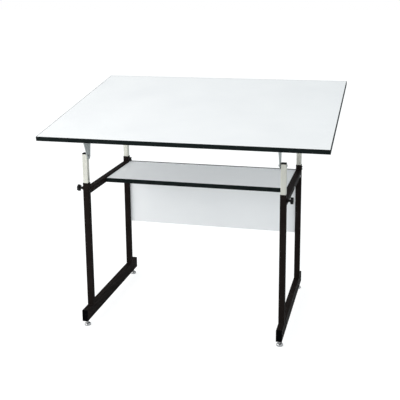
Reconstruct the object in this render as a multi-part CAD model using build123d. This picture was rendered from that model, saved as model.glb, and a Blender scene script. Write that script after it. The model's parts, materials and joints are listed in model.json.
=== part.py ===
from build123d import *
import math
import os

# Four-post drafting table: two welded square-tube side frames, telescoping lift tubes,
# a tilting top, a shelf and a modesty panel.
# Millimetres. +X is the sitter's right, +Y the rear, +Z up. The floor is Z = 0.

# ---- Driving dimensions ----

# Tabletop
TOP_WIDTH = 1219.2
TOP_DEPTH = 914.4
TOP_THICKNESS = 19.05
TOP_TILT = 9.0            # degrees, rear edge high, as stored
TOP_FRONT_REACH = 60.5    # front edge ahead of the front pivot, along the top
TOP_ABOVE_PIVOT = 80.7    # underside above the front pivot, square to the top
EDGING_THICKNESS = 2.5
EDGING_ROUND = 0.9
TONGUE_THICKNESS = 2.2
TONGUE_DEPTH = 7.5

# All square tube
TUBE_CORNER = 2.0
TUBE_INNER_CORNER = 0.6

# Side frames
FRAME_WIDTH = 869.0       # outside to outside
FRAME_DEPTH = 533.4       # front of front posts to rear of rear posts
POST_SIZE = 25.4
POST_WALL = 1.2
POST_LENGTH = 552.0
RAIL_DROP = 24.4          # upper rail's top below the post tops
UPPER_RAIL_HEIGHT = 25.4
UPPER_RAIL_WALL = 1.5
FOOT_RAIL_HEIGHT = 50.8
FOOT_RAIL_WALL = 1.5
FOOT_OVERHANG = 63.5      # foot rail, cap included, past the posts at each end
FOOT_CAP_THICKNESS = 2.0
FOOT_PLUG_DEPTH = 14.0

# Levelling glides
RAIL_ABOVE_FLOOR = 27.5
GLIDE_INSET = 26.0        # glide axis in from the foot's end
GLIDE_RADIUS = 14.0
GLIDE_HEIGHT = 11.0
GLIDE_SHOULDER = 5.0      # height where the dome starts
GLIDE_CHAMFER = 1.0
GLIDE_NECK_RADIUS = 7.5
GLIDE_STUD_RADIUS = 4.76
GLIDE_STUD_REACH = 40.0   # stud above the rail's underside
GLIDE_SOCKET_DEPTH = 5.0
INSERT_RADIUS = 8.0
INSERT_FLANGE_RADIUS = 10.5
INSERT_FLANGE_THICKNESS = 2.0
INSERT_DEPTH = 16.0

# Lift tubes
LIFT_WALL = 1.5
LIFT_STICKOUT = 125.7     # front tube's end above the post top, as stored
LIFT_LOWERING = 106.0     # from there down to the lowest setting
CAP_THICKNESS = 4.2
CAP_PLUG_DEPTH = 12.0
CAP_ROUND = 1.5
PIVOT_BELOW_END = 7.6     # pivot axis below the tube's end
PIVOT_RADIUS = 3.0
PIVOT_HEAD_RADIUS = 6.0
PIVOT_HEAD_HEIGHT = 3.0
PIVOT_HEAD_ROUND = 1.5
PIVOT_NUT_FLATS = 10.0
PIVOT_NUT_HEIGHT = 5.0
PIVOT_END_PROUD = 0.8     # bolt past its nut
SPACER_RADIUS = 8.0
SPACER_THICKNESS = 1.5

# Rear lift, which rises in proportion to the tilt
CAM_LEAD = 62.0           # rise per radian beyond the distance between the posts
TILT_TRAVEL = 30.0        # degrees from level to steepest
CAM_STEPS = 16

# Brackets under the top
BRACKET_THICKNESS = 3.0
BRACKET_TOP_WIDTH = 80.0
BRACKET_END_RADIUS = 15.5
BRACKET_FLANGE = 30.0
REAR_BRACKET_MARGIN = 13.0
BRACKET_SCREW_INSET = 12.0

# Shelf and modesty panel
SHELF_THICKNESS = 19.05
SHELF_BELOW_RAIL = 5.0    # shelf top below the upper rails' tops
SHELF_SETBACK = 206.0     # shelf front behind the front of the posts
PANEL_THICKNESS = 9.5
PANEL_ABOVE_SHELF = 3.8
PANEL_HEIGHT = 306.8
PANEL_EDGING = 1.5

# Clamp knobs
CLAMP_BELOW_POST_TOP = 24.5
CLAMP_SCREW_RADIUS = 3.97
CLAMP_NUT_FLATS = 15.0
CLAMP_NUT_HEIGHT = 5.0
KNOB_CORE_RADIUS = 10.0
KNOB_LOBE_RADIUS = 4.6
KNOB_LOBE_CENTRE = 10.0
KNOB_LOBES = 6
KNOB_THICKNESS = 13.0
KNOB_HUB_RADIUS = 6.0
KNOB_HUB_HEIGHT = 10.5
KNOB_ROUND = 1.6
KNOB_BORE_DEPTH = 12.0

# Fasteners
SCREW_RADIUS = 2.2
SCREW_HEAD_RADIUS = 4.4
SCREW_HEAD_HEIGHT = 2.4
SCREW_GRIP = 12.0         # screw in the top's core
PANEL_SCREW_GRIP = 7.0
SHELF_BOLT_RADIUS = 3.0
SHELF_BOLT_HEAD_RADIUS = 6.0
SHELF_BOLT_HEAD_HEIGHT = 3.2
SHELF_BOLT_REACH = 34.0   # bolt end inside the shelf
SHELF_BOLT_INSET = 52.0
BARREL_NUT_RADIUS = 5.0
BARREL_NUT_LENGTH = 13.0
BARREL_NUT_INSET = 26.0   # cross nut's axis in from the shelf's end
PLATE_LENGTH = 52.0       # from the post's middle inwards
PLATE_HEIGHT = 22.0
PLATE_THICKNESS = 2.0
PLATE_CORNER = 3.0
PLATE_SCREW_INSET = 11.0  # first screw in from the post's inner face
PLATE_SCREW_PITCH = 18.0
PLATE_END_GAP = 45.0      # plate centre in from the panel's top and bottom

# Clearances
RUNNING_GAP = 0.08        # radial, a shaft that turns in its hole
PINNED_GAP = 0.05         # radial, a shaft that is fixed in its hole
SLOT_GAP = 0.3            # radial, a pin in its cam slot
LIFT_GAP = 0.4            # a lift tube in its post, on each side
LIFT_END_GAP = 3.2        # a lift tube's lower end above the foot rail, at the lowest setting
SIDE_GAP = 0.3            # between faces of parts that move past each other
BOARD_GAP = 0.4           # a board between the side frames
PLUG_GAP = 0.1            # a plastic plug inside its tube

# ---- Places worked out from the dimensions ----

TILT = math.radians(TOP_TILT)
rail_top_z = RAIL_ABOVE_FLOOR + FOOT_RAIL_HEIGHT
post_top_z = rail_top_z + POST_LENGTH
post_x = (FRAME_WIDTH - POST_SIZE) / 2
inner_x = FRAME_WIDTH / 2 - POST_SIZE
upper_rail_top_z = post_top_z - RAIL_DROP

lift_size = POST_SIZE - 2 * (POST_WALL + LIFT_GAP)
lift_length = LIFT_STICKOUT + POST_LENGTH - LIFT_LOWERING - LIFT_END_GAP
front_end_z = post_top_z + LIFT_STICKOUT
pivot_z = front_end_z - PIVOT_BELOW_END
post_spacing = FRAME_DEPTH - POST_SIZE
rise_per_radian = post_spacing + CAM_LEAD
rest_rise = rise_per_radian * TILT

# Depth positions measured from the front of the posts, then moved so that
# the whole object's box is centred on Y = 0.
pivot_from_front = POST_SIZE / 2
top_front = (
    pivot_from_front
    - TOP_FRONT_REACH * math.cos(TILT)
    - (TOP_ABOVE_PIVOT + TOP_THICKNESS) * math.sin(TILT)
)
top_rear = (
    pivot_from_front
    + (TOP_DEPTH - TOP_FRONT_REACH) * math.cos(TILT)
    - TOP_ABOVE_PIVOT * math.sin(TILT)
)
foot_front = -FOOT_OVERHANG
foot_rear = FRAME_DEPTH + FOOT_OVERHANG
box_front = min(top_front, foot_front)
box_rear = max(top_rear, foot_rear)
posts_front_y = -(box_front + box_rear) / 2

front_y = posts_front_y + POST_SIZE / 2
rear_y = front_y + post_spacing
posts_rear_y = posts_front_y + FRAME_DEPTH

shelf_top_z = upper_rail_top_z - SHELF_BELOW_RAIL
shelf_mid_z = shelf_top_z - SHELF_THICKNESS / 2
shelf_front_y = posts_front_y + SHELF_SETBACK
panel_rear_y = posts_rear_y
panel_front_y = panel_rear_y - PANEL_THICKNESS
panel_top_z = shelf_top_z + PANEL_ABOVE_SHELF
panel_bottom_z = panel_top_z - PANEL_HEIGHT
board_width = 2 * (inner_x - BOARD_GAP)
clamp_z = post_top_z - CLAMP_BELOW_POST_TOP

SIDES = {"left": -1, "right": 1}
ENDS = {"front": front_y, "rear": rear_y}
LIFTS = {"front": 0.0, "rear": rest_rise}

# The top's own frame: X across, Y up the slope, Z square to the board,
# with its origin on the front pivot axis.
TOP_FRAME = Plane(
    origin=(0, front_y, pivot_z),
    x_dir=(1, 0, 0),
    z_dir=(0, -math.sin(TILT), math.cos(TILT)),
)

LOW = (Align.CENTER, Align.CENTER, Align.MIN)
HIGH = (Align.CENTER, Align.CENTER, Align.MAX)


# ---- Helpers ----

def save(name, solids):
    """Writes one node: a single solid, or a group of separate ones."""
    group = solids if isinstance(solids, list) else [solids]
    bodies = [body for shape in group for body in shape.solids()]
    shape = bodies[0] if len(bodies) == 1 else Compound(children=bodies)
    export_step(shape, f"parts/{name}.step")


def rod(start, direction, radius, length):
    """A round bar from a point, along a direction."""
    return Plane(origin=start, z_dir=direction) * Cylinder(radius, length, align=LOW)


def hexagon(start, direction, flats, length):
    """A hexagonal prism from a point, along a direction."""
    outline = RegularPolygon(flats / 2, 6, major_radius=False)
    return Plane(origin=start, z_dir=direction) * extrude(outline, length)


def square_tube(size, depth, wall, length):
    """An open tube with rounded corners that stands on Z = 0."""
    outside = RectangleRounded(size, depth, TUBE_CORNER)
    inside = RectangleRounded(size - 2 * wall, depth - 2 * wall, TUBE_INNER_CORNER)
    return extrude(outside - inside, length)


def lying_tube(height, wall, start_y, end_y):
    """An open tube along Y with its axis at X = Z = 0."""
    length = end_y - start_y
    tube = square_tube(POST_SIZE, height, wall, length)
    return Pos(0, start_y, 0) * Rot(-90, 0, 0) * tube


def screw(seat, direction, radius, grip, head_radius, head_height):
    """A round-headed screw: its head sits on the seat, its shank runs along the direction."""
    head = rod(seat, -Vector(*direction), head_radius, head_height)
    return head + rod(seat, direction, radius, grip)


def corners(columns, rows):
    """Every pair from two lists of positions."""
    return [(a, b) for a in columns for b in rows]


# ---- Side frames ----

def clamp_face(end, side):
    """Centre of the post face that carries the clamp, and the way the face looks."""
    if end == "front":
        return (side * FRAME_WIDTH / 2, front_y, clamp_z), (side, 0, 0)
    return (side * post_x, posts_rear_y, clamp_z), (0, 1, 0)


def plate_heights():
    return [panel_bottom_z + PLATE_END_GAP, panel_top_z - PLATE_END_GAP]


def plate_screw_points(side):
    """Two screws into the panel for each fixing plate."""
    across = [inner_x - PLATE_SCREW_INSET, inner_x - PLATE_SCREW_INSET - PLATE_SCREW_PITCH]
    return [(side * x, z) for x, z in corners(across, plate_heights())]


def post(end, side):
    tube = square_tube(POST_SIZE, POST_SIZE, POST_WALL, POST_LENGTH)
    tube = Pos(side * post_x, ENDS[end], rail_top_z) * tube
    face, way = clamp_face(end, side)
    return tube - rod(face, -Vector(*way), CLAMP_SCREW_RADIUS + RUNNING_GAP, 2 * POST_WALL)


def upper_rail(side):
    tube = lying_tube(UPPER_RAIL_HEIGHT, UPPER_RAIL_WALL, front_y + POST_SIZE / 2, rear_y - POST_SIZE / 2)
    tube = Pos(side * post_x, 0, upper_rail_top_z - UPPER_RAIL_HEIGHT / 2) * tube
    for y in shelf_bolt_depths():
        start = (side * FRAME_WIDTH / 2, y, shelf_mid_z)
        tube -= rod(start, (-side, 0, 0), SHELF_BOLT_RADIUS + PINNED_GAP, POST_SIZE)
    return tube


def foot_span():
    """Ends of the foot rail's tube, without its caps."""
    front = posts_front_y - FOOT_OVERHANG + FOOT_CAP_THICKNESS
    rear = posts_rear_y + FOOT_OVERHANG - FOOT_CAP_THICKNESS
    return front, rear


def glide_depth(end):
    front, rear = foot_span()
    inset = GLIDE_INSET - FOOT_CAP_THICKNESS
    return front + inset if end == "front" else rear - inset


def foot_rail(side):
    front, rear = foot_span()
    middle_z = RAIL_ABOVE_FLOOR + FOOT_RAIL_HEIGHT / 2
    tube = Pos(side * post_x, 0, middle_z) * lying_tube(FOOT_RAIL_HEIGHT, FOOT_RAIL_WALL, front, rear)
    for end in ENDS:
        start = (side * post_x, glide_depth(end), RAIL_ABOVE_FLOOR)
        tube -= rod(start, (0, 0, 1), INSERT_RADIUS, 2 * FOOT_RAIL_WALL)
    return tube


def foot_cap(end, side):
    """A plastic plug with a flange that covers the end of the foot rail."""
    flange = Box(POST_SIZE, FOOT_CAP_THICKNESS, FOOT_RAIL_HEIGHT)
    flange = fillet(flange.edges().filter_by(Axis.Y), TUBE_CORNER)
    shrink = 2 * (FOOT_RAIL_WALL + PLUG_GAP)
    plug = Box(POST_SIZE - shrink, FOOT_PLUG_DEPTH, FOOT_RAIL_HEIGHT - shrink)
    plug = fillet(plug.edges().filter_by(Axis.Y), TUBE_INNER_CORNER)
    inward = 1 if end == "front" else -1
    reach = (FOOT_CAP_THICKNESS + FOOT_PLUG_DEPTH) / 2
    cap = flange + Pos(0, inward * reach, 0) * plug
    edge = foot_span()[0 if end == "front" else 1]
    middle = edge - inward * FOOT_CAP_THICKNESS / 2
    return Pos(side * post_x, middle, RAIL_ABOVE_FLOOR + FOOT_RAIL_HEIGHT / 2) * cap


def glide_insert(end, side):
    """The threaded insert that the glide's stud screws into."""
    flange = Pos(0, 0, -INSERT_FLANGE_THICKNESS) * Cylinder(
        INSERT_FLANGE_RADIUS, INSERT_FLANGE_THICKNESS, align=LOW
    )
    body = flange + Cylinder(INSERT_RADIUS, INSERT_DEPTH, align=LOW)
    bore = Pos(0, 0, -INSERT_FLANGE_THICKNESS) * Cylinder(
        GLIDE_STUD_RADIUS + RUNNING_GAP, INSERT_FLANGE_THICKNESS + INSERT_DEPTH, align=LOW
    )
    return Pos(side * post_x, glide_depth(end), RAIL_ABOVE_FLOOR) * (body - bore)


# ---- Levelling glides ----

def glide_pad(end, side):
    """A domed steel foot: flat below, rounded shoulder, short neck, socket for the stud."""
    rim = GLIDE_RADIUS
    side_line = Polyline((0, 0), (rim - GLIDE_CHAMFER, 0), (rim, GLIDE_CHAMFER), (rim, GLIDE_SHOULDER))
    dome = Spline((rim, GLIDE_SHOULDER), (GLIDE_NECK_RADIUS, GLIDE_HEIGHT), tangents=[(0, 1), (-1, 0.25)])
    top_line = Polyline((GLIDE_NECK_RADIUS, GLIDE_HEIGHT), (0, GLIDE_HEIGHT), (0, 0))
    face = Plane.XZ * make_face(side_line + dome + top_line)
    pad = revolve(face, Axis.Z)
    socket = Pos(0, 0, GLIDE_HEIGHT - GLIDE_SOCKET_DEPTH) * Cylinder(
        GLIDE_STUD_RADIUS, GLIDE_SOCKET_DEPTH, align=LOW
    )
    return Pos(side * post_x, glide_depth(end), 0) * (pad - socket)


def glide_stud(end, side):
    bottom = GLIDE_HEIGHT - GLIDE_SOCKET_DEPTH
    length = RAIL_ABOVE_FLOOR + GLIDE_STUD_REACH - bottom
    stud = Cylinder(GLIDE_STUD_RADIUS, length, align=LOW)
    stud = chamfer(stud.edges().group_by(Axis.Z)[-1], GLIDE_CHAMFER)
    return Pos(side * post_x, glide_depth(end), bottom) * stud


# ---- Clamps ----

def clamp_nut(end, side):
    """The nut welded to the post, which the clamp screw turns in."""
    face, way = clamp_face(end, side)
    nut = hexagon(face, way, CLAMP_NUT_FLATS, CLAMP_NUT_HEIGHT)
    return nut - rod(face, way, CLAMP_SCREW_RADIUS + RUNNING_GAP, CLAMP_NUT_HEIGHT)


def clamp_screw(end, side):
    """From just short of the lift tube, out through the post and its nut, into the knob."""
    face, way = clamp_face(end, side)
    tube_face = (POST_SIZE - lift_size) / 2 - SIDE_GAP
    start = Vector(*face) - Vector(*way) * tube_face
    length = tube_face + CLAMP_NUT_HEIGHT + SIDE_GAP + KNOB_BORE_DEPTH
    return rod(start, way, CLAMP_SCREW_RADIUS, length)


def clamp_knob(end, side):
    """A lobed grip on a round hub, bored for its screw."""
    hub = Cylinder(KNOB_HUB_RADIUS, KNOB_HUB_HEIGHT, align=LOW)
    outline = Circle(KNOB_CORE_RADIUS)
    for place in PolarLocations(KNOB_LOBE_CENTRE, KNOB_LOBES):
        outline += place * Circle(KNOB_LOBE_RADIUS)
    grip = Pos(0, 0, KNOB_HUB_HEIGHT) * extrude(outline, KNOB_THICKNESS)
    rims = grip.edges().group_by(Axis.Z)
    grip = fillet(rims[0] + rims[-1], KNOB_ROUND)
    bore = Cylinder(CLAMP_SCREW_RADIUS, KNOB_BORE_DEPTH, align=LOW)
    face, way = clamp_face(end, side)
    start = Vector(*face) + Vector(*way) * (CLAMP_NUT_HEIGHT + SIDE_GAP)
    return Plane(origin=start, z_dir=way) * (hub + grip - bore)


# ---- Shelf and modesty panel ----

def shelf_bolt_depths():
    """Two bolts a side, set in from both ends of the stretch where the shelf lies beside the rail."""
    rail_end = rear_y - POST_SIZE / 2
    return [shelf_front_y + SHELF_BOLT_INSET, rail_end - SHELF_BOLT_INSET]


def shelf_panel():
    """The board, grooved for the edging on its front and sides, and bored for the bolts."""
    front = shelf_front_y + EDGING_THICKNESS
    depth = panel_front_y - front
    width = board_width - 2 * EDGING_THICKNESS
    middle = Pos(0, front + depth / 2, shelf_mid_z)
    uncut = Box(width - 2 * TONGUE_DEPTH, depth, TONGUE_THICKNESS)
    grooves = Box(width, depth, TONGUE_THICKNESS) - Pos(0, TONGUE_DEPTH, 0) * uncut
    board = middle * (Box(width, depth, SHELF_THICKNESS) - grooves)
    for side in SIDES.values():
        for y in shelf_bolt_depths():
            board -= shelf_bolt_hole(side, y)
            board -= barrel_nut_blank(side, y, PINNED_GAP)
    return board


def shelf_bolt_hole(side, y):
    start = (side * inner_x, y, shelf_mid_z)
    return rod(start, (-side, 0, 0), SHELF_BOLT_RADIUS + PINNED_GAP, SHELF_BOLT_REACH)


def barrel_nut_blank(side, y, gap):
    bottom = (side * (inner_x - BARREL_NUT_INSET), y, shelf_top_z - SHELF_THICKNESS)
    return rod(bottom, (0, 0, 1), BARREL_NUT_RADIUS + gap, BARREL_NUT_LENGTH + gap)


def barrel_nut(side, y):
    return barrel_nut_blank(side, y, 0) - shelf_bolt_hole(side, y)


def shelf_bolt(side, y):
    seat = (side * FRAME_WIDTH / 2, y, shelf_mid_z)
    length = POST_SIZE + SHELF_BOLT_REACH
    return screw(
        seat, (-side, 0, 0), SHELF_BOLT_RADIUS, length, SHELF_BOLT_HEAD_RADIUS, SHELF_BOLT_HEAD_HEIGHT
    )


def moulding(length, height, tongue=True):
    """A straight T-moulding along X: its back is at Y = 0 and its tongue points to +Y."""
    cover = Box(length, EDGING_THICKNESS, height, align=(Align.CENTER, Align.MAX, Align.CENTER))
    front = cover.edges().filter_by(Axis.X).group_by(Axis.Y)[0]
    cover = fillet(front, EDGING_ROUND)
    if not tongue:
        return cover
    rib = Box(length, TONGUE_DEPTH, TONGUE_THICKNESS, align=(Align.CENTER, Align.MIN, Align.CENTER))
    return cover + rib


def edging_strip(length, height):
    """One side of a board's edging, with both ends cut to a mitre."""
    strip = moulding(length, height)
    reach = EDGING_THICKNESS + TONGUE_DEPTH
    half = length / 2
    plan = Polyline(
        (-half, -EDGING_THICKNESS),
        (half, -EDGING_THICKNESS),
        (half - reach, TONGUE_DEPTH),
        (-half + reach, TONGUE_DEPTH),
        close=True,
    )
    keep = extrude(make_face(plan), height, both=True)
    return strip & keep


def shelf_edging():
    """A strip across the front, mitred to one on each side that runs back to the panel."""
    front = Pos(0, shelf_front_y + EDGING_THICKNESS, shelf_mid_z)
    strips = [front * edging_strip(board_width, SHELF_THICKNESS)]
    depth = panel_front_y - shelf_front_y
    ahead = Box(FRAME_WIDTH, depth, SHELF_THICKNESS, align=(Align.CENTER, Align.MAX, Align.CENTER))
    ahead = Pos(0, panel_front_y, shelf_mid_z) * ahead
    for side in SIDES.values():
        strip = Rot(0, 0, 90 * side) * edging_strip(2 * depth, SHELF_THICKNESS)
        edge_x = side * (board_width / 2 - EDGING_THICKNESS)
        strip = Pos(edge_x, panel_front_y, shelf_mid_z) * strip & ahead
        for y in shelf_bolt_depths():
            strip -= shelf_bolt_hole(side, y)
        strips.append(strip)
    return strips


def modesty_panel():
    height = PANEL_HEIGHT - PANEL_EDGING
    board = Pos(0, (panel_front_y + panel_rear_y) / 2, panel_bottom_z) * Box(
        board_width, PANEL_THICKNESS, height, align=LOW
    )
    for side in SIDES.values():
        for x, z in plate_screw_points(side):
            board -= rod((x, panel_rear_y, z), (0, -1, 0), SCREW_RADIUS + PINNED_GAP, PANEL_SCREW_GRIP)
    return board


def modesty_edging():
    """The dark strip along the panel's top edge."""
    strip = Box(board_width, PANEL_THICKNESS, PANEL_EDGING, align=HIGH)
    strip = fillet(strip.edges().filter_by(Axis.X).group_by(Axis.Z)[-1], EDGING_ROUND)
    return Pos(0, (panel_front_y + panel_rear_y) / 2, panel_top_z) * strip


def fixing_plate(side, z):
    """A flat plate welded behind the rear post, with the panel's end screwed to it."""
    plate = Box(PLATE_LENGTH, PLATE_THICKNESS, PLATE_HEIGHT)
    plate = fillet(plate.edges().filter_by(Axis.Y), PLATE_CORNER)
    middle = side * (post_x - PLATE_LENGTH / 2)
    plate = Pos(middle, panel_rear_y + PLATE_THICKNESS / 2, z) * plate
    for x, height in plate_screw_points(side):
        start = (x, panel_rear_y + PLATE_THICKNESS, height)
        plate -= rod(start, (0, -1, 0), SCREW_RADIUS + PINNED_GAP, PLATE_THICKNESS)
    return plate


def plate_screw(x, z):
    seat = (x, panel_rear_y + PLATE_THICKNESS, z)
    grip = PLATE_THICKNESS + PANEL_SCREW_GRIP
    return screw(seat, (0, -1, 0), SCREW_RADIUS, grip, SCREW_HEAD_RADIUS, SCREW_HEAD_HEIGHT)


# ---- Lift tubes and their pivots ----

def lift_end_z(end):
    return front_end_z + LIFTS[end]


def pivot_point(end, x):
    return (x, ENDS[end], lift_end_z(end) - PIVOT_BELOW_END)


def lift_tube(end, side):
    tube = square_tube(lift_size, lift_size, LIFT_WALL, lift_length)
    tube = Pos(side * post_x, ENDS[end], lift_end_z(end) - lift_length) * tube
    start = pivot_point(end, side * (post_x + lift_size / 2))
    return tube - rod(start, (-side, 0, 0), PIVOT_RADIUS + PINNED_GAP, lift_size)


def lift_cap(end, side):
    """A square plastic plug with a low crown, notched to clear the pivot bolt."""
    crown = extrude(RectangleRounded(lift_size, lift_size, TUBE_CORNER), CAP_THICKNESS)
    crown = fillet(crown.edges().group_by(Axis.Z)[-1], CAP_ROUND)
    inside = lift_size - 2 * (LIFT_WALL + PLUG_GAP)
    plug = Box(inside, inside, CAP_PLUG_DEPTH, align=HIGH)
    plug = fillet(plug.edges().filter_by(Axis.Z), TUBE_INNER_CORNER)
    cap = Pos(side * post_x, ENDS[end], lift_end_z(end)) * (crown + plug)
    start = pivot_point(end, side * (post_x + lift_size / 2))
    cap -= rod(start, (-side, 0, 0), PIVOT_RADIUS + SIDE_GAP, lift_size)
    x, y, z = start
    below = Box(lift_size, 2 * (PIVOT_RADIUS + SIDE_GAP), CAP_PLUG_DEPTH, align=HIGH)
    return cap - Pos(side * post_x, y, z) * below


def bracket_outer_x():
    """Bracket plate's outer face: past the spacer on the lift tube's inner side."""
    return post_x - lift_size / 2 - SPACER_THICKNESS - SIDE_GAP


def bracket_inner_x():
    return bracket_outer_x() - BRACKET_THICKNESS


def pivot_bolt(end, side):
    """Head outside the tube, shank through the tube, the bracket and the nut."""
    seat = pivot_point(end, side * (post_x + lift_size / 2))
    nut_end = bracket_inner_x() - SIDE_GAP - PIVOT_NUT_HEIGHT
    length = post_x + lift_size / 2 - nut_end + PIVOT_END_PROUD
    head = rod(seat, (side, 0, 0), PIVOT_HEAD_RADIUS, PIVOT_HEAD_HEIGHT)
    rim = head.edges().filter_by(GeomType.CIRCLE).sort_by(Axis.X)[-1 if side > 0 else 0]
    head = fillet(rim, PIVOT_HEAD_ROUND)
    return head + rod(seat, (-side, 0, 0), PIVOT_RADIUS, length)


def pivot_spacer(end, side):
    start = pivot_point(end, side * (post_x - lift_size / 2))
    ring = rod(start, (-side, 0, 0), SPACER_RADIUS, SPACER_THICKNESS)
    return ring - rod(start, (-side, 0, 0), PIVOT_RADIUS + PINNED_GAP, SPACER_THICKNESS)


def pivot_nut(end, side):
    start = pivot_point(end, side * (bracket_inner_x() - SIDE_GAP))
    nut = hexagon(start, (-side, 0, 0), PIVOT_NUT_FLATS, PIVOT_NUT_HEIGHT)
    return nut - rod(start, (-side, 0, 0), PIVOT_RADIUS + PINNED_GAP, PIVOT_NUT_HEIGHT)


# ---- Tabletop, in its own frame ----

def top_middle():
    """How far up the slope the middle of the top lies from the pivot."""
    return TOP_DEPTH / 2 - TOP_FRONT_REACH


def cam_point(angle):
    """Where the rear pin stands in the top's frame when the top is tilted by angle."""
    rise = rise_per_radian * angle
    along = post_spacing * math.cos(angle) + rise * math.sin(angle)
    above = rise * math.cos(angle) - post_spacing * math.sin(angle)
    return along, above


def cam_path():
    travel = math.radians(TILT_TRAVEL)
    return [cam_point(travel * step / CAM_STEPS) for step in range(CAM_STEPS + 1)]


def cam_slot():
    """The slot that the rear pin runs in, as a solid across X at X = 0."""
    radius = PIVOT_RADIUS + SLOT_GAP
    points = cam_path()
    slot = None
    for near, far in zip(points, points[1:]):
        middle = ((near[0] + far[0]) / 2, (near[1] + far[1]) / 2)
        length = math.dist(near, far)
        angle = math.degrees(math.atan2(far[1] - near[1], far[0] - near[0]))
        piece = Pos(*middle) * Rot(0, 0, angle) * SlotCenterToCenter(length, 2 * radius)
        slot = piece if slot is None else slot + piece
    return extrude(Plane.YZ * slot, BRACKET_THICKNESS, both=True)


def rear_bracket_span():
    """Both ends of the rear bracket, up the slope from the pivot."""
    along = [point[0] for point in cam_path()]
    margin = REAR_BRACKET_MARGIN + PIVOT_RADIUS
    return min(along) - margin, max(along) + margin


def rear_bracket_low():
    return min(point[1] for point in cam_path()) - REAR_BRACKET_MARGIN


def flange(side, near, far):
    """The bent-over edge that lies against the underside of the top."""
    leaf = Box(
        BRACKET_FLANGE, far - near, BRACKET_THICKNESS, align=(Align.MAX, Align.MIN, Align.MAX)
    )
    leaf = Pos(bracket_outer_x(), near, TOP_ABOVE_PIVOT) * leaf
    return leaf if side > 0 else mirror(leaf, Plane.YZ)


def plate_from(outline, side):
    """A plate in the YZ plane, set at the bracket's place across the table."""
    plate = extrude(Plane.YZ * outline, BRACKET_THICKNESS)
    start = bracket_inner_x() if side > 0 else -bracket_outer_x()
    return Pos(start, 0, 0) * plate


def front_bracket(side):
    """A tapered ear, rounded about the pivot, under a flange."""
    half = BRACKET_TOP_WIDTH / 2
    lean = math.atan2(half - BRACKET_END_RADIUS, TOP_ABOVE_PIVOT)
    tip_y = BRACKET_END_RADIUS * math.cos(lean)
    tip_z = -BRACKET_END_RADIUS * math.sin(lean)
    sides = Polyline((-tip_y, tip_z), (-half, TOP_ABOVE_PIVOT), (half, TOP_ABOVE_PIVOT), (tip_y, tip_z))
    round_end = ThreePointArc((-tip_y, tip_z), (0, -BRACKET_END_RADIUS), (tip_y, tip_z))
    ear = plate_from(make_face(sides + round_end), side)
    start = (side * bracket_outer_x(), 0, 0)
    hole = rod(start, (-side, 0, 0), PIVOT_RADIUS + RUNNING_GAP, BRACKET_THICKNESS)
    bracket = ear + flange(side, -half, half) - hole
    return drilled(bracket, side, front_screw_points())


def rear_bracket(side):
    """A deep ear with the cam slot along its lower edge, under a flange."""
    near, far = rear_bracket_span()
    low = rear_bracket_low()
    plate = Rectangle(far - near, TOP_ABOVE_PIVOT - low)
    outline = Pos((near + far) / 2, (low + TOP_ABOVE_PIVOT) / 2) * plate
    outline = fillet(outline.vertices().group_by(Axis.Y)[0], REAR_BRACKET_MARGIN)
    slot = Pos(side * (bracket_inner_x() + bracket_outer_x()) / 2, 0, 0) * cam_slot()
    bracket = plate_from(outline, side) + flange(side, near, far) - slot
    return drilled(bracket, side, rear_screw_points())


def screw_x():
    return bracket_inner_x() - (BRACKET_FLANGE - BRACKET_THICKNESS) / 2


def front_screw_points():
    half = BRACKET_TOP_WIDTH / 2 - BRACKET_SCREW_INSET
    return [-half, half]


def rear_screw_points():
    near, far = rear_bracket_span()
    near = near + BRACKET_SCREW_INSET
    far = far - BRACKET_SCREW_INSET
    return [near, (near + far) / 2, far]


def drilled(shape, side, points):
    """The bracket with its screw holes."""
    bottom = TOP_ABOVE_PIVOT - BRACKET_THICKNESS
    for y in points:
        start = (side * screw_x(), y, bottom)
        shape -= rod(start, (0, 0, 1), SCREW_RADIUS + PINNED_GAP, BRACKET_THICKNESS)
    return shape


def bracket_screw(side, y):
    seat = (side * screw_x(), y, TOP_ABOVE_PIVOT - BRACKET_THICKNESS)
    grip = BRACKET_THICKNESS + SCREW_GRIP
    return screw(seat, (0, 0, 1), SCREW_RADIUS, grip, SCREW_HEAD_RADIUS, SCREW_HEAD_HEIGHT)


def tabletop_core():
    """The board, grooved all round for the edging and drilled for the bracket screws."""
    width = TOP_WIDTH - 2 * EDGING_THICKNESS
    depth = TOP_DEPTH - 2 * EDGING_THICKNESS
    board = Box(width, depth, TOP_THICKNESS, align=LOW)
    ring = Box(width, depth, TONGUE_THICKNESS)
    ring -= Box(width - 2 * TONGUE_DEPTH, depth - 2 * TONGUE_DEPTH, TONGUE_THICKNESS)
    board -= Pos(0, 0, TOP_THICKNESS / 2) * ring
    board = Pos(0, top_middle(), TOP_ABOVE_PIVOT) * board
    for side in SIDES.values():
        for y in front_screw_points() + rear_screw_points():
            start = (side * screw_x(), y, TOP_ABOVE_PIVOT)
            board -= rod(start, (0, 0, 1), SCREW_RADIUS + PINNED_GAP, SCREW_GRIP)
    return board


def tabletop_edging():
    strips = []
    for quarter in range(4):
        along, across = (TOP_WIDTH, TOP_DEPTH) if quarter % 2 == 0 else (TOP_DEPTH, TOP_WIDTH)
        strip = Pos(0, EDGING_THICKNESS - across / 2, 0) * edging_strip(along, TOP_THICKNESS)
        middle = Pos(0, top_middle(), TOP_ABOVE_PIVOT + TOP_THICKNESS / 2)
        strips.append(middle * Rot(0, 0, 90 * quarter) * strip)
    return strips


# ---- Assembly ----

def each_corner(make):
    return [make(end, side) for end in ENDS for side in SIDES.values()]


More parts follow.
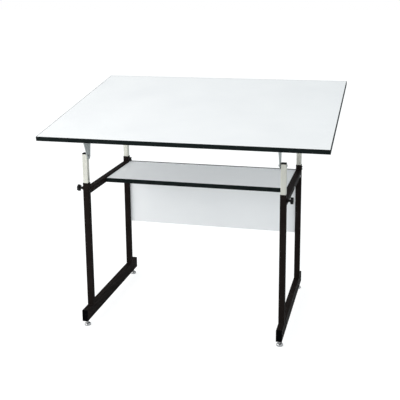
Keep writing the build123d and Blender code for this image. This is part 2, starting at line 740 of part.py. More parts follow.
def save_base():
    for name, side in SIDES.items():
        save(f"{name}_foot_rail", foot_rail(side))
        save(f"{name}_upper_rail", upper_rail(side))
        for end in ENDS:
            save(f"{end}_{name}_post", post(end, side))
    save("foot_end_caps", each_corner(foot_cap))
    save("glide_inserts", each_corner(glide_insert))
    save("clamp_nuts", each_corner(clamp_nut))
    save("shelf_panel", shelf_panel())
    save("shelf_edging", shelf_edging())
    places = corners(SIDES.values(), shelf_bolt_depths())
    save("shelf_bolts", [shelf_bolt(side, y) for side, y in places])
    save("shelf_barrel_nuts", [barrel_nut(side, y) for side, y in places])
    save("modesty_panel", modesty_panel())
    save("modesty_panel_edging", modesty_edging())
    plates = corners(SIDES.values(), plate_heights())
    save("panel_fixing_plates", [fixing_plate(side, z) for side, z in plates])
    points = [point for side in SIDES.values() for point in plate_screw_points(side)]
    save("panel_screws", [plate_screw(x, z) for x, z in points])


def save_corners():
    for end, (name, side) in corners(ENDS, SIDES.items()):
        label = f"{end}_{name}"
        save(f"{label}_glide_pad", glide_pad(end, side))
        save(f"{label}_glide_stud", glide_stud(end, side))
        save(f"{label}_knob", clamp_knob(end, side))
        save(f"{label}_clamp_screw", clamp_screw(end, side))
        save(f"{label}_lift_tube", lift_tube(end, side))


def save_pivots():
    for end in ENDS:
        save(f"{end}_tube_caps", [lift_cap(end, side) for side in SIDES.values()])
        save(f"{end}_pivot_bolts", [pivot_bolt(end, side) for side in SIDES.values()])
        save(f"{end}_pivot_spacers", [pivot_spacer(end, side) for side in SIDES.values()])
        save(f"{end}_pivot_nuts", [pivot_nut(end, side) for side in SIDES.values()])


def save_top():
    place = TOP_FRAME.location
    save("tabletop_core", place * tabletop_core())
    save("tabletop_edging", [place * strip for strip in tabletop_edging()])
    for name, side in SIDES.items():
        save(f"front_{name}_bracket", place * front_bracket(side))
        save(f"rear_{name}_bracket", place * rear_bracket(side))
    points = front_screw_points() + rear_screw_points()
    screws = [bracket_screw(side, y) for side, y in corners(SIDES.values(), points)]
    save("bracket_screws", [place * piece for piece in screws])


os.makedirs("parts", exist_ok=True)
save_base()
save_corners()
save_pivots()
save_top()
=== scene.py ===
import bpy
import bmesh
import json
import math
from mathutils import Matrix, Vector


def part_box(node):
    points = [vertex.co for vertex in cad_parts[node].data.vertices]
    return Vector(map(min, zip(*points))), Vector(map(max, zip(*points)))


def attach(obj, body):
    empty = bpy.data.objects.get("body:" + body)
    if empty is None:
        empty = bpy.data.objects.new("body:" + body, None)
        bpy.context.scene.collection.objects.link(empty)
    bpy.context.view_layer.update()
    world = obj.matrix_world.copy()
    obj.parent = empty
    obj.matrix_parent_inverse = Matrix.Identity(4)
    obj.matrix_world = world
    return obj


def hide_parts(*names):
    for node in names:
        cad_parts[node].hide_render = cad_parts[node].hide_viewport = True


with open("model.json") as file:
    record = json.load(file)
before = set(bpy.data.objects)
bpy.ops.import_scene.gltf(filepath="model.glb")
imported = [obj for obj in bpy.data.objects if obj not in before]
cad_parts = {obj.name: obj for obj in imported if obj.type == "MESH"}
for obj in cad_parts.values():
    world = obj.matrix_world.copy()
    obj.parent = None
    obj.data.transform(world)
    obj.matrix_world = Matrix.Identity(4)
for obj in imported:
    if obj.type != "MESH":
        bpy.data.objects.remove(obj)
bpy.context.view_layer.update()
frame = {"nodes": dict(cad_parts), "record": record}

SIDES = {"left": -1, "right": 1}
ENDS = ("front", "rear")
CORNERS = {f"{end}_{name}": (end, side) for end in ENDS for name, side in SIDES.items()}
MM = 0.001
RIGHT = Vector((1, 0, 0))
BACK = Vector((0, 1, 0))
UP = Vector((0, 0, 1))
MERGE_DISTANCE = 1e-6          # metres; joins the corners that a solid's faces repeat
FACE_DEPTH = 0.02 * MM         # points this near to the furthest one are on its face

RECORD = frame["record"]
SLOTS = {part["node"]: part["material_slot"] for part in RECORD["subparts"]}
BODIES = {
    node: body for body, nodes in RECORD["behaviour"]["bodies"].items() for node in nodes
}


# ---- Where the CAD solids are ----

def solids(node):
    """The points of each separate solid in a CAD node, in the order of its mesh."""
    mesh = bmesh.new()
    mesh.from_mesh(frame["nodes"][node].data)
    bmesh.ops.remove_doubles(mesh, verts=mesh.verts, dist=MERGE_DISTANCE)
    left = set(mesh.verts)
    groups = []
    for first in mesh.verts:
        if first not in left:
            continue
        left.remove(first)
        group, edge = [], [first]
        while edge:
            vert = edge.pop()
            group.append(vert.co.copy())
            others = [link.other_vert(vert) for link in vert.link_edges]
            near = [other for other in others if other in left]
            left.difference_update(near)
            edge.extend(near)
        groups.append(group)
    mesh.free()
    return groups


def end_face(points, way):
    """The middle of the face that lies furthest along a direction."""
    far = max(point.dot(way) for point in points)
    face = [point for point in points if point.dot(way) > far - FACE_DEPTH]
    low = Vector([min(point[axis] for point in face) for axis in range(3)])
    high = Vector([max(point[axis] for point in face) for axis in range(3)])
    return (low + high) / 2


def side_of(points):
    """1 on the table's right, -1 on its left."""
    return 1 if points[0].x > 0 else -1


# ---- Materials ----

MIX_COLOR_INPUTS = (6, 7)      # a mix node's colour sockets share their names with its others
MIX_COLOR_OUTPUT = 2
EDGE_SAMPLES = 4
EDGE_SHARP, EDGE_FLAT = 0.80, 0.98    # cosines between the rounded and the true normal


class Nodes:
    """A material's node tree, with short ways to add and join its nodes."""

    def __init__(self, name):
        self.material = bpy.data.materials.new(name)
        self.material.use_nodes = True
        self.tree = self.material.node_tree
        self.shader = self.tree.nodes["Principled BSDF"]

    def add(self, kind, **values):
        node = self.tree.nodes.new(kind)
        for key, value in values.items():
            if key in node.inputs:
                node.inputs[key].default_value = value
            else:
                setattr(node, key, value)
        return node

    def join(self, source, target):
        self.tree.links.new(source, target)

    def set(self, **values):
        """Sets the shader's own constants."""
        for key, value in values.items():
            self.shader.inputs[key.replace("_", " ")].default_value = value

    def color(self, source):
        self.join(source, self.shader.inputs["Base Color"])

    def roughness(self, source):
        self.join(source, self.shader.inputs["Roughness"])

    def coordinates(self, stretch=(1, 1, 1)):
        """Object coordinates in metres, scaled along each axis."""
        source = self.add("ShaderNodeTexCoord").outputs["Object"]
        scale = self.add("ShaderNodeMapping")
        scale.inputs["Scale"].default_value = stretch
        self.join(source, scale.inputs["Vector"])
        return scale.outputs["Vector"]

    def noise(self, size, detail=3.0, rough=0.55, stretch=(1, 1, 1)):
        """Noise whose blobs are about this many metres across."""
        node = self.add("ShaderNodeTexNoise", Scale=1 / size, Detail=detail, Roughness=rough)
        self.join(self.coordinates(stretch), node.inputs["Vector"])
        return node.outputs["Fac"]

    def ramp(self, source, low, high, start=0, end=1):
        """Maps the source from low..high to start..end, clamped."""
        node = self.add("ShaderNodeMapRange")
        limits = {"From Min": low, "From Max": high, "To Min": start, "To Max": end}
        for key, value in limits.items():
            node.inputs[key].default_value = value
        self.join(source, node.inputs["Value"])
        return node.outputs["Result"]

    def mix(self, factor, first, second):
        """A colour between two, each a colour or a socket."""
        node = self.add("ShaderNodeMix", data_type="RGBA")
        self.join(factor, node.inputs["Factor"])
        for place, value in zip(MIX_COLOR_INPUTS, (first, second)):
            if isinstance(value, tuple):
                node.inputs[place].default_value = (*value, 1)
            else:
                self.join(value, node.inputs[place])
        return node.outputs[MIX_COLOR_OUTPUT]

    def math(self, operation, first, second):
        """A sum or product, and so on, of two values, each a number or a socket."""
        node = self.add("ShaderNodeMath", operation=operation)
        for socket, value in zip(node.inputs, (first, second)):
            if isinstance(value, (int, float)):
                socket.default_value = value
            else:
                self.join(value, socket)
        return node.outputs[0]

    def bump(self, *heights):
        """Chains (height socket, strength, distance in metres) into the shader's normal."""
        normal = None
        for height, strength, distance in heights:
            node = self.add("ShaderNodeBump", Strength=strength, Distance=distance)
            self.join(height, node.inputs["Height"])
            if normal:
                self.join(normal, node.inputs["Normal"])
            normal = node.outputs["Normal"]
        self.join(normal, self.shader.inputs["Normal"])

    def edges(self, radius):
        """1 on sharp edges, 0 on flats."""
        bevel = self.add("ShaderNodeBevel", samples=EDGE_SAMPLES, Radius=radius)
        flat = self.add("ShaderNodeNewGeometry").outputs["Normal"]
        dot = self.add("ShaderNodeVectorMath", operation="DOT_PRODUCT")
        self.join(bevel.outputs["Normal"], dot.inputs[0])
        self.join(flat, dot.inputs[1])
        return self.ramp(dot.outputs["Value"], EDGE_FLAT, EDGE_SHARP)


def powder_coat():
    """Satin brown-black enamel: orange peel, faint mottling, dust, and edges rubbed lighter."""
    m = Nodes("powder_coat")
    dark, light = (0.0104, 0.0078, 0.0070), (0.0140, 0.0108, 0.0098)
    dusty, rubbed = (0.021, 0.017, 0.016), (0.035, 0.030, 0.027)
    mottle = m.noise(0.06, 4)
    dust = m.noise(0.004, 2)
    edge = m.edges(1.2 * MM)
    broken = m.math("MULTIPLY", edge, m.ramp(m.noise(0.012, 5), 0.45, 0.62))
    base = m.mix(m.ramp(mottle, 0.35, 0.65), dark, light)
    speck = m.mix(m.ramp(dust, 0.62, 0.75), base, dusty)
    m.color(m.mix(m.math("MULTIPLY", broken, 0.5), speck, rubbed))
    m.set(Specular_IOR_Level=0.010)
    m.roughness(m.ramp(mottle, 0.3, 0.7, 0.42, 0.54))
    m.bump((m.noise(0.0011, 2), 0.35, 0.00012), (m.noise(0.006, 3), 0.15, 0.0002))
    return m.material


def plated_tube():
    """Satin nickel plate over drawn tube: fine streaks along it and a few clamp rubs."""
    m = Nodes("plated_tube")
    dark, light = (0.665, 0.66, 0.588), (0.78, 0.775, 0.71)
    dull, rubbed = (0.63, 0.625, 0.56), (0.55, 0.54, 0.50)
    streak = m.noise(0.0012, 4, 0.6, stretch=(1, 1, 0.02))
    broad = m.noise(0.02, 4, 0.6, stretch=(1, 1, 0.25))
    rub = m.ramp(m.noise(0.0022, 3, 0.5, stretch=(1, 1, 0.06)), 0.66, 0.72)
    base = m.mix(m.ramp(streak, 0.3, 0.7), dark, light)
    cloudy = m.mix(m.ramp(broad, 0.35, 0.7, 0, 0.6), base, dull)
    m.color(m.mix(rub, cloudy, rubbed))
    m.set(Metallic=1.0)
    rough = m.ramp(streak, 0.3, 0.7, 0.30, 0.42)
    m.roughness(m.math("ADD", rough, m.math("MULTIPLY", rub, 0.12)))
    m.bump((streak, 0.18, 0.00006), (rub, 0.15, 0.00005))
    return m.material


def bracket_plate():
    """Grey zinc on pressed sheet: soft spangle, rolled grain and bright cut edges."""
    m = Nodes("bracket_plate")
    dark, light, cut = (0.40, 0.425, 0.415), (0.48, 0.505, 0.495), (0.56, 0.57, 0.56)
    spangle = 0.005
    cells = m.add("ShaderNodeTexVoronoi", Scale=1 / spangle)
    m.join(m.coordinates(), cells.inputs["Vector"])
    tone = m.ramp(cells.outputs["Distance"], 0.0, 0.9)
    grain = m.noise(0.0016, 4, 0.6, stretch=(1, 1, 0.08))
    base = m.mix(tone, dark, light)
    edge = m.edges(0.7 * MM)
    m.color(m.mix(m.math("MULTIPLY", edge, 0.6), base, cut))
    m.set(Metallic=0.75)
    m.roughness(m.ramp(grain, 0.3, 0.7, 0.42, 0.56))
    m.bump((grain, 0.2, 0.00006), (m.noise(0.02, 3), 0.1, 0.0003))
    return m.material


def melamine():
    """White laminate: a fine pebble in the gloss, faint clouding and a few rubbed marks."""
    m = Nodes("white_melamine")
    dark, light = (0.850, 0.853, 0.862), (0.885, 0.886, 0.890)
    cloud = m.noise(0.22, 4)
    rub = m.ramp(m.noise(0.10, 6, 0.6), 0.56, 0.70)
    m.color(m.mix(m.ramp(cloud, 0.3, 0.7), dark, light))
    rough = m.ramp(cloud, 0.3, 0.7, 0.36, 0.44)
    m.roughness(m.math("ADD", rough, m.math("MULTIPLY", rub, 0.07)))
    m.bump((m.noise(0.0016, 3), 0.30, 0.00005), (m.noise(0.012, 2), 0.08, 0.00010))
    return m.material


def edge_moulding():
    """Black extruded moulding: faint lines along it, satin with softer patches."""
    m = Nodes("edge_moulding")
    dark, light = (0.0045, 0.0075, 0.0075), (0.0075, 0.0115, 0.0110)
    rubbed = (0.035, 0.042, 0.040)
    lines = m.noise(0.0022, 3, 0.5, stretch=(0.01, 0.01, 1))
    patch = m.noise(0.05, 4)
    edge = m.edges(0.8 * MM)
    base = m.mix(m.ramp(patch, 0.35, 0.65), dark, light)
    m.color(m.mix(m.math("MULTIPLY", edge, 0.5), base, rubbed))
    m.set(Specular_IOR_Level=0.05)
    m.roughness(m.ramp(patch, 0.3, 0.7, 0.36, 0.48))
    m.bump((lines, 0.25, 0.00008), (m.noise(0.0014, 2), 0.12, 0.00005))
    return m.material


def black_plastic(name, color, rough, grain, gloss):
    """Moulded black plastic with a spark-eroded grain this many metres across."""
    m = Nodes(name)
    m.set(Specular_IOR_Level=gloss)
    fine = m.noise(grain, 3)
    light = tuple(1.25 * channel for channel in color)
    rubbed = tuple(1.7 * channel + 0.002 for channel in color)
    edge = m.edges(0.6 * MM)
    base = m.mix(m.ramp(m.noise(0.02, 4), 0.35, 0.65), color, light)
    m.color(m.mix(m.math("MULTIPLY", edge, 0.6), base, rubbed))
    m.roughness(m.ramp(fine, 0.3, 0.7, rough - 0.05, rough + 0.06))
    m.bump((fine, 0.3, 0.00006), (m.noise(0.006, 2), 0.1, 0.0001))
    return m.material


def bright_metal(name, color, rough, grain):
    """Plated metal with fine scratches and a slightly uneven gloss."""
    m = Nodes(name)
    fine = m.noise(grain, 4, 0.65)
    patch = m.noise(0.006, 4)
    darker = tuple(0.80 * channel for channel in color)
    m.color(m.mix(m.ramp(patch, 0.35, 0.7), color, darker))
    m.set(Metallic=1.0)
    m.roughness(m.ramp(fine, 0.3, 0.7, rough - 0.06, rough + 0.08))
    m.bump((fine, 0.15, 0.00004), (patch, 0.1, 0.00006))
    return m.material


def natural_nylon():
    """Cream nylon, faintly clouded, that lets a little light in."""
    m = Nodes("natural_nylon")
    dark, light = (0.50, 0.49, 0.44), (0.62, 0.61, 0.56)
    fine = m.noise(0.0012, 3)
    m.color(m.mix(m.noise(0.004, 3), dark, light))
    m.set(Subsurface_Weight=0.2, Subsurface_Scale=0.002)
    m.roughness(m.ramp(fine, 0.3, 0.7, 0.40, 0.52))
    m.bump((fine, 0.2, 0.00005))
    return m.material


MATERIALS = {
    "frame_enamel": powder_coat(),
    "tube_plating": plated_tube(),
    "bracket_steel": bracket_plate(),
    "white_board": melamine(),
    "edge_moulding": edge_moulding(),
    "knob_plastic": black_plastic(
        "knob_plastic", color=(0.0012, 0.0013, 0.0015), rough=0.16, grain=0.0012, gloss=0.18),
    "cap_plastic": black_plastic(
        "cap_plastic", color=(0.0009, 0.0009, 0.0012), rough=0.42, grain=0.0010, gloss=0.02),
    "spacer_nylon": natural_nylon(),
    "glide_steel": bright_metal(
        "glide_chrome", color=(0.62, 0.63, 0.64), rough=0.18, grain=0.0008),
    "zinc_hardware": bright_metal(
        "zinc_hardware", color=(0.50, 0.51, 0.52), rough=0.32, grain=0.0009),
}


def paint_cad_nodes():
    """Gives each CAD node the material of its slot."""
    for node, slot in SLOTS.items():
        data = frame["nodes"][node].data
        data.materials.clear()
        data.materials.append(MATERIALS[slot])


# ---- Meshes ----

SMOOTH_ANGLE = math.radians(35)    # a gentler edge than this is shaded smooth


def skin(name, shells, loop=False):
    """One mesh from shells, each a list of rings of points. A loop's last ring joins its first."""
    mesh = bmesh.new()
    for rings in shells:
        rows = [[mesh.verts.new(point) for point in ring] for ring in rings]
        pairs = list(zip(rows, rows[1:]))
        if loop:
            pairs.append((rows[-1], rows[0]))
        else:
            for row in (rows[0], rows[-1]):
                mesh.faces.new(row)
        for low, high in pairs:
            for i in range(len(low)):
                j = (i + 1) % len(low)
                mesh.faces.new((low[i], low[j], high[j], high[i]))
    bmesh.ops.recalc_face_normals(mesh, faces=mesh.faces)
    data = bpy.data.meshes.new(name)
    mesh.to_mesh(data)
    mesh.free()
    piece = bpy.data.objects.new(name, data)
    bpy.context.scene.collection.objects.link(piece)
    return piece


def facing(place, way, across=UP):
    """The frame at a place, with Z along way and X as near to across as it can be."""
    z = Vector(way).normalized()
    y = z.cross(across).normalized()
    return Matrix.Translation(place) @ Matrix((y.cross(z), y, z)).transposed().to_4x4()


def lathe(where, profile, steps):
    """Rings up a frame's Z from (radius, height) or (radius, height, outline) entries.

    An outline takes (angle, radius, height) and gives the distance from the axis.
    """
    rings = []
    for radius, height, *outline in profile:
        ring = []
        for i in range(steps):
            angle = 2 * math.pi * i / steps
            reach = outline[0](angle, radius, height) if outline else radius
            ring.append(where @ Vector((reach * math.cos(angle), reach * math.sin(angle), height)))
        rings.append(ring)
    return rings


def arc(centre_radius, centre_height, size_radius, size_height, start, end, steps):
    """Profile entries along part of an ellipse; angles are in degrees from straight out."""
    entries = []
    for i in range(steps + 1):
        angle = math.radians(start + (end - start) * i / steps)
        entries.append((
            centre_radius + size_radius * math.cos(angle),
            centre_height + size_height * math.sin(angle),
        ))
    return entries


def from_flat(angle):
    """How far an angle is from the middle of the nearest side of a hexagon."""
    return (angle + math.pi / 6) % (math.pi / 3) - math.pi / 6


def hexagon(flats):
    """An outline: a hexagon this wide across its flats, cut round where the radius is smaller."""
    def outline(angle, radius, height):
        return min(flats / 2 / math.cos(from_flat(angle)), radius)
    return outline


def cross(arm_share):
    """An outline: a cross whose arms reach the radius; their half width is this share of it."""
    def outline(angle, radius, height):
        along = max(abs(math.cos(angle)), abs(math.sin(angle)))
        tiny = 1e-6    # keeps the middle of an arm from dividing by zero
        aside = max(min(abs(math.cos(angle)), abs(math.sin(angle))), tiny)
        return min(radius / along, radius * arm_share / aside)
    return outline


def lobes(count, swing, hub_radius, grip_radius):
    """An outline: a wave that fades out between the grip's radius and the hub's."""
    def outline(angle, radius, height):
        share = (radius - hub_radius) / (grip_radius - hub_radius)
        return radius + swing * max(0, min(1, share)) * math.cos(count * angle)
    return outline


def thread(pitch, depth):
    """An outline: a V thread."""
    def outline(angle, radius, height):
        turn = (height / pitch - angle / (2 * math.pi)) % 1
        return radius - depth * abs(2 * turn - 1)
    return outline


def place_piece(piece, body, slot, *nodes):
    """Paints a new piece, smooths its gentle edges, and sets it on its body."""
    piece.data.materials.append(MATERIALS[slot])
    piece.data.shade_smooth()
    piece.data.set_sharp_from_angle(angle=SMOOTH_ANGLE)
    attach(piece, body)
    if nodes:
        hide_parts(*nodes)


def stand_in(node, name, shells, loop=False):
    """A finer piece in place of a CAD node."""
    place_piece(skin(name, shells, loop), BODIES[node], SLOTS[node], node)


# ---- Knobs and glides ----

KNOB_STEPS = 96
KNOB_LOBES = 6
KNOB_SWING = 2.1 * MM              # how far a lobe stands out from the grip's mean radius
KNOB_HUB_RADIUS = 6.0 * MM
KNOB_HUB_LENGTH = 10.5 * MM
KNOB_HUB_CHAMFER = 0.5 * MM
KNOB_HUB_PLAIN = 2.0 * MM          # the lobes have faded out this far outside the hub
KNOB_FLARE = (1.6 * MM, 3.4 * MM)  # the curve from the hub to the grip: radius, height
KNOB_FLARE_OUT = 1.0 * MM          # its centre lies this far outside the hub
KNOB_FLARE_DROP = 3.5 * MM         # and this far below the grip
KNOB_BACK_ROUND = 1.7 * MM
KNOB_FACE_ROUND = (2.6 * MM, 2.2 * MM)
KNOB_CAP_RADIUS = 6.6 * MM
KNOB_CAP_RISE = 0.4 * MM           # the cap stands this far above the grip's face
KNOB_CAP_ROUND = (0.6 * MM, 0.9 * MM)
KNOB_CAP_DOME = 0.1 * MM
KNOB_GROOVE = (1.0 * MM, 0.8 * MM)
KNOB_GROOVE_OUT = 1.4 * MM         # the groove's outer lip lies this far outside the cap


def clamp_way(corner):
    """Front knobs look outwards, and rear knobs backwards."""
    end, side = CORNERS[corner]
    return side * RIGHT if end == "front" else BACK


def knob(corner):
    """A lobed grip that swells out of a waisted hub, with a cap pressed into its face."""
    node = f"{corner}_knob"
    low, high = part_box(node)
    size = high - low
    way = clamp_way(corner)
    across = [axis for axis in (RIGHT, BACK, UP) if not way.dot(axis)]
    lobe_way = max(across, key=lambda axis: size.dot(axis))
    length = abs(size.dot(way))
    mean = size.dot(lobe_way) / 2 - KNOB_SWING
    where = facing((low + high) / 2 - way * length / 2, way, lobe_way)
    wave = lobes(KNOB_LOBES, KNOB_SWING, KNOB_HUB_RADIUS + KNOB_HUB_PLAIN, mean)
    face = length - KNOB_CAP_RISE

    hub = [(KNOB_HUB_RADIUS - KNOB_HUB_CHAMFER, 0), (KNOB_HUB_RADIUS, KNOB_HUB_CHAMFER)]
    flare_height = KNOB_HUB_LENGTH - KNOB_FLARE_DROP
    hub += arc(KNOB_HUB_RADIUS + KNOB_FLARE_OUT, flare_height, *KNOB_FLARE, 205, 100, 7)

    back = KNOB_BACK_ROUND
    grip = arc(mean - back, KNOB_HUB_LENGTH + back, back, back, -90, 0, 6)
    out, deep = KNOB_FACE_ROUND
    grip += arc(mean - out, face - deep, out, deep, 0, 90, 8)
    out, deep = KNOB_GROOVE
    grip += arc(KNOB_CAP_RADIUS + KNOB_GROOVE_OUT, face - deep, out, deep, 90, 180, 4)

    out, deep = KNOB_CAP_ROUND
    cap = arc(KNOB_CAP_RADIUS - out, face - deep, out, deep, -30, 90, 5)
    cap += [(KNOB_CAP_RADIUS / 2, length - KNOB_CAP_DOME), (KNOB_CAP_RADIUS / 6, length)]
    profile = [(radius, height, wave) for radius, height in hub + grip] + cap
    stand_in(node, f"{corner}_lobed_knob", [lathe(where, profile, KNOB_STEPS)])


GLIDE_STEPS = 96
GLIDE_RIM = 1.0 * MM
GLIDE_SHOULDER = 5.0 * MM
GLIDE_NECK_RADIUS = 7.5 * MM
GLIDE_MOUTH = (0.2 * MM, 0.3 * MM)    # the chamfer where the stud goes in: radius, height
STUD_STEPS = 32
STUD_ROWS_PER_TURN = 8
STUD_PITCH = 1.6 * MM
STUD_DEPTH = 0.7 * MM


def glide(corner):
    """A spun steel foot, and its stud with a rolled thread."""
    low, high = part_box(f"{corner}_glide_pad")
    radius = (high.x - low.x) / 2
    height = high.z - low.z
    middle = (low + high) / 2
    where = facing((middle.x, middle.y, low.z), UP, RIGHT)
    profile = arc(radius - GLIDE_RIM, GLIDE_RIM, GLIDE_RIM, GLIDE_RIM, -90, 0, 4)
    out, deep = radius - GLIDE_NECK_RADIUS, height - GLIDE_SHOULDER
    profile += arc(GLIDE_NECK_RADIUS, GLIDE_SHOULDER, out, deep, 0, 90, 14)
    stud_low, stud_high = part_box(f"{corner}_glide_stud")
    stud = (stud_high.x - stud_low.x) / 2
    socket = stud_low.z - low.z
    out, deep = GLIDE_MOUTH
    profile += [(stud + out, height), (stud, height - deep), (stud, socket)]
    stand_in(f"{corner}_glide_pad", f"{corner}_spun_glide", [lathe(where, profile, GLIDE_STEPS)])

    cut = thread(STUD_PITCH, STUD_DEPTH)
    length = stud_high.z - stud_low.z
    rows = round(STUD_ROWS_PER_TURN * length / STUD_PITCH)
    profile = [(stud, length * row / rows, cut) for row in range(rows + 1)]
    where = facing((middle.x, middle.y, stud_low.z), UP, RIGHT)
    rings = lathe(where, profile, STUD_STEPS)
    stand_in(f"{corner}_glide_stud", f"{corner}_threaded_stud", [rings])


# ---- Screws, bolts and nuts ----

FASTENER_STEPS = 72
TIP_CHAMFER = 0.5 * MM
HEAD_CHAMFER = 0.2 * MM
DOME_START = 0.62          # where a head starts to fall away, as a share of its radius
DOME_SHARE = 0.70          # how much of a head's height falls away
SCREW_HEAD_RADIUS = 4.4 * MM
SCREW_HEAD_HEIGHT = 2.4 * MM
SCREW_RADIUS = 2.2 * MM
BUTTON_HEAD_RADIUS = 6.0 * MM
BOLT_RADIUS = 3.0 * MM
SHELF_HEAD_HEIGHT = 3.2 * MM
PIVOT_HEAD_HEIGHT = 3.0 * MM
CROSS_MOUTH = 2.45 * MM
CROSS_ARM_SHARE = 0.26
CROSS_STEPS = ((2.2 * MM, 0), (1.7 * MM, 0.5 * MM), (0.8 * MM, 1.5 * MM))    # radius, depth
KEY_FLATS = 4.0 * MM
KEY_MOUTH_SHARE = 0.64     # the round mouth's radius, as a share of the flats
KEY_TIP_SHARE = 0.2
KEY_DEPTHS = (0.1 * MM, 1.8 * MM, 2.3 * MM)    # of the mouth, the flats and the drilled tip
HEX_FACE = 0.47            # radii of a nut, as shares of its width across flats
HEX_FLAT = 0.51
HEX_CORNER = 0.58
COLLAR_CENTRE = 0.36
COLLAR_ROUND = 0.07
COLLAR_CURVE = 0.7         # how much of a collar's height is its rounded end
NUT_CHAMFERS = (0.1 * MM, 0.5 * MM)
BORE_CHAMFER = 0.3 * MM
CLAMP_NUT_FLATS = 15.0 * MM
CLAMP_BORE = 4.05 * MM
PIVOT_NUT_FLATS = 10.0 * MM
PIVOT_NUT_COLLAR = 1.6 * MM


def fastener(points, way, shank, head, height, recess):
    """A domed head above a round shank; recess is the profile of the socket in the head."""
    top = end_face(points, way)
    length = (top - end_face(points, -way)).dot(way)
    level = abs(way.z) < 0.5
    where = facing(top - way * height, way, UP if level else RIGHT)
    tip = height - length
    profile = [(shank - TIP_CHAMFER, tip), (shank, tip + TIP_CHAMFER), (shank, 0)]
    profile += [(head - HEAD_CHAMFER, 0), (head, HEAD_CHAMFER)]
    dome, fall = DOME_START * head, DOME_SHARE * height
    profile += arc(dome, height - fall, head - dome, fall, 0, 90, 8)
    return lathe(where, profile + recess(height), FASTENER_STEPS)


def cross_recess(height):
    """A round mouth, then a cross that narrows downwards."""
    outline = cross(CROSS_ARM_SHARE)
    steps = [(radius, height - depth, outline) for radius, depth in CROSS_STEPS]
    return [(CROSS_MOUTH, height), *steps]


def key_recess(height):
    """A round mouth, a hexagonal socket, and a drilled tip."""
    outline = hexagon(KEY_FLATS)
    wide = KEY_FLATS    # past the hexagon's corners, so that none is cut round
    mouth, floor, tip = KEY_DEPTHS
    return [
        (KEY_MOUTH_SHARE * KEY_FLATS, height),
        (wide, height - mouth, outline),
        (wide, height - floor, outline),
        (KEY_TIP_SHARE * KEY_FLATS, height - tip),
    ]


def top_normal():
    """The direction that the drawing surface looks in."""
    for mount in RECORD["mounts"]:
        if mount["name"] == "drawing_surface":
            return Vector(mount["axis"]).normalized()


def screws(node, way):
    """Cross-headed screws whose heads look one way."""
    shells = [
        fastener(points, way, SCREW_RADIUS, SCREW_HEAD_RADIUS, SCREW_HEAD_HEIGHT, cross_recess)
        for points in solids(node)
    ]
    stand_in(node, f"{node}_pan_head", shells)


def bolts(node, head_height):
    """Button-head bolts whose heads look outwards."""
    sizes = (BOLT_RADIUS, BUTTON_HEAD_RADIUS, head_height)
    shells = [
        fastener(points, side_of(points) * RIGHT, *sizes, key_recess)
        for points in solids(node)
    ]
    stand_in(node, f"{node}_button_head", shells)


def nut(points, way, flats, bore, collar):
    """A chamfered hexagon; a lock nut's outer end narrows to a rounded collar."""
    base = end_face(points, -way)
    height = (end_face(points, way) - base).dot(way)
    outline = hexagon(flats)
    face, flat, corner = HEX_FACE * flats, HEX_FLAT * flats, HEX_CORNER * flats
    small, large = NUT_CHAMFERS
    shoulder = height - collar
    profile = [(bore, 0), (face, 0), (flat, small, outline), (corner, large, outline)]
    profile += [(corner, shoulder - large, outline), (flat, shoulder - small, outline)]
    profile += [(face, shoulder)]
    if collar:
        curve = COLLAR_CURVE * collar
        centre = COLLAR_CENTRE * flats
        profile += arc(centre, height - curve, COLLAR_ROUND * flats, curve, 0, 90, 5)
    profile += [(bore + BORE_CHAMFER, height), (bore, height - BORE_CHAMFER)]
    return lathe(facing(base, way), profile, FASTENER_STEPS)


# ---- Welds ----

WELD_SIZE = 2.8 * MM
WELD_PITCH = 2.4 * MM
WELD_STEPS = 5             # rings to each ripple
WELD_MIN_STEPS = 8
WELD_ARC_STEPS = 6
WELD_ROOT = 0.2 * MM       # how far a bead reaches into its corner
WELD_RIPPLE = 0.12
WELD_HOLLOW = 0.16         # how far a bead's face sinks in, as a share of its size
WELD_END_SIZE = 0.35       # a bead's size at its two ends, as a share
WELD_END_SLOPE = 6         # and how fast it grows from there
CORNER_CLEAR = 1.6 * MM    # a bead stops this far short of the tube's rounded corner
PLATE_WELD_SIZE = 0.7 * WELD_SIZE
PLATE_WELD_CLEAR = 3 * MM
NUT_WELD_SIZE = 1.5 * MM
NUT_WELD_STEPS = 132
NUT_WELD_RIPPLES = 22
NUT_WELD_ROOT = (0.4 * MM, 0.1 * MM)    # how far it reaches into the nut and the post


def bead(start, end, first, second, size):
    """A rippled fillet weld in the corner between two faces that look along first and second."""
    length = (end - start).length
    count = max(WELD_MIN_STEPS, round(WELD_STEPS * length / WELD_PITCH))
    rings = []
    for i in range(count + 1):
        share = i / count
        fade = min(1, WELD_END_SLOPE * min(share, 1 - share) + WELD_END_SIZE)
        wave = abs(math.sin(math.pi * share * length / WELD_PITCH))
        leg = size * fade * (1 - WELD_RIPPLE + WELD_RIPPLE * wave)
        centre = start.lerp(end, share)
        ring = [centre - WELD_ROOT * (first + second)]
        for step in range(WELD_ARC_STEPS + 1):
            angle = math.pi / 2 * step / WELD_ARC_STEPS
            swell = leg * (1 - WELD_HOLLOW * math.sin(2 * angle))
            ring.append(centre + swell * (first * math.cos(angle) + second * math.sin(angle)))
        rings.append(ring)
    return rings


